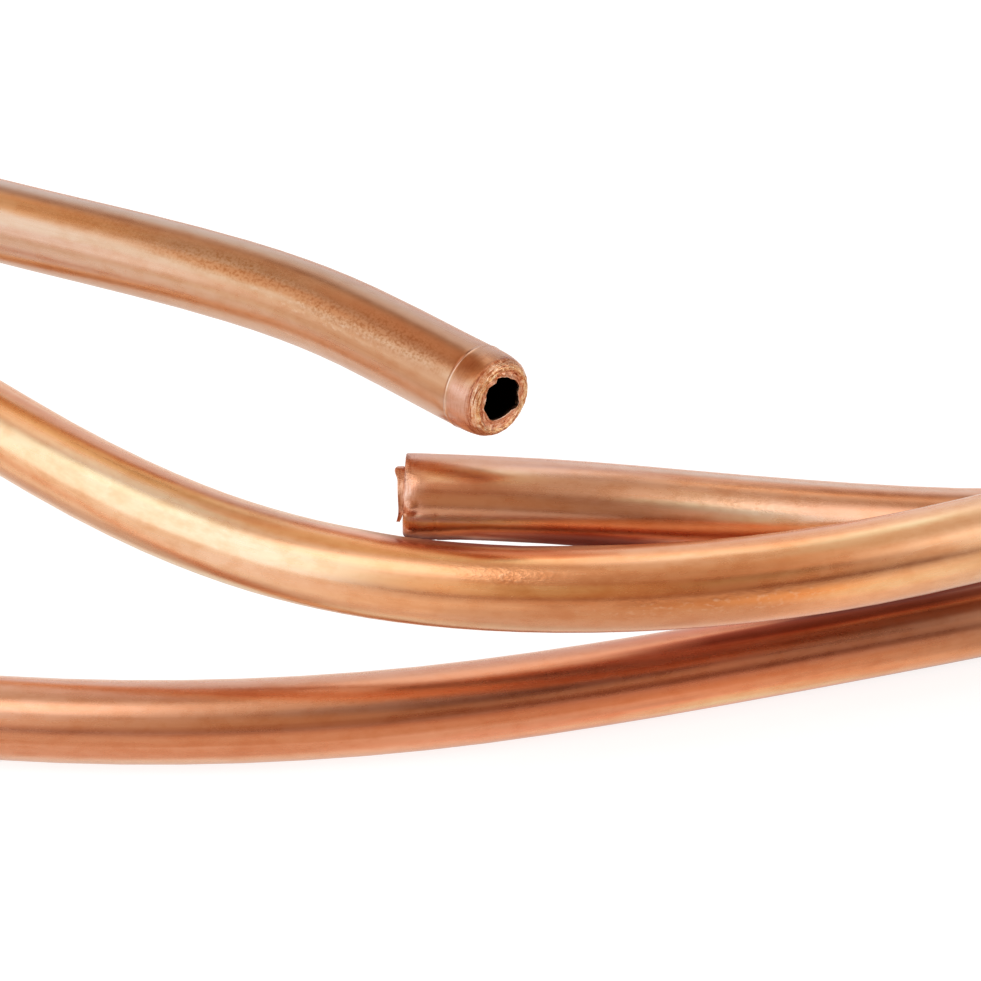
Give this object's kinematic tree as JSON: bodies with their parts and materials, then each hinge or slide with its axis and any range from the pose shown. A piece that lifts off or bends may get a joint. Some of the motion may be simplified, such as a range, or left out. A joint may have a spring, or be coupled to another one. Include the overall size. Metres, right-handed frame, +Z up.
{
  "type": "copper tube coil",
  "caption": "Soft copper tube wound by hand into a loose open coil, with both plain ends cut by a wheel cutter, one end bent outwards; raw stock for water, gas or refrigerant lines.",
  "frame": {"origin": "on the floor under the middle of the coil's bounding box", "axes": "+Z up, out of the flat lying coil; -Y towards the near side, where both cut ends lie; +X to the right of that side"},
  "size_m": [0.2404, 0.229, 0.0322],
  "materials": {
    "copper": null
  },
  "bodies": {
    "root": {"copper_tube": "copper"}
  },
  "joints": []
}
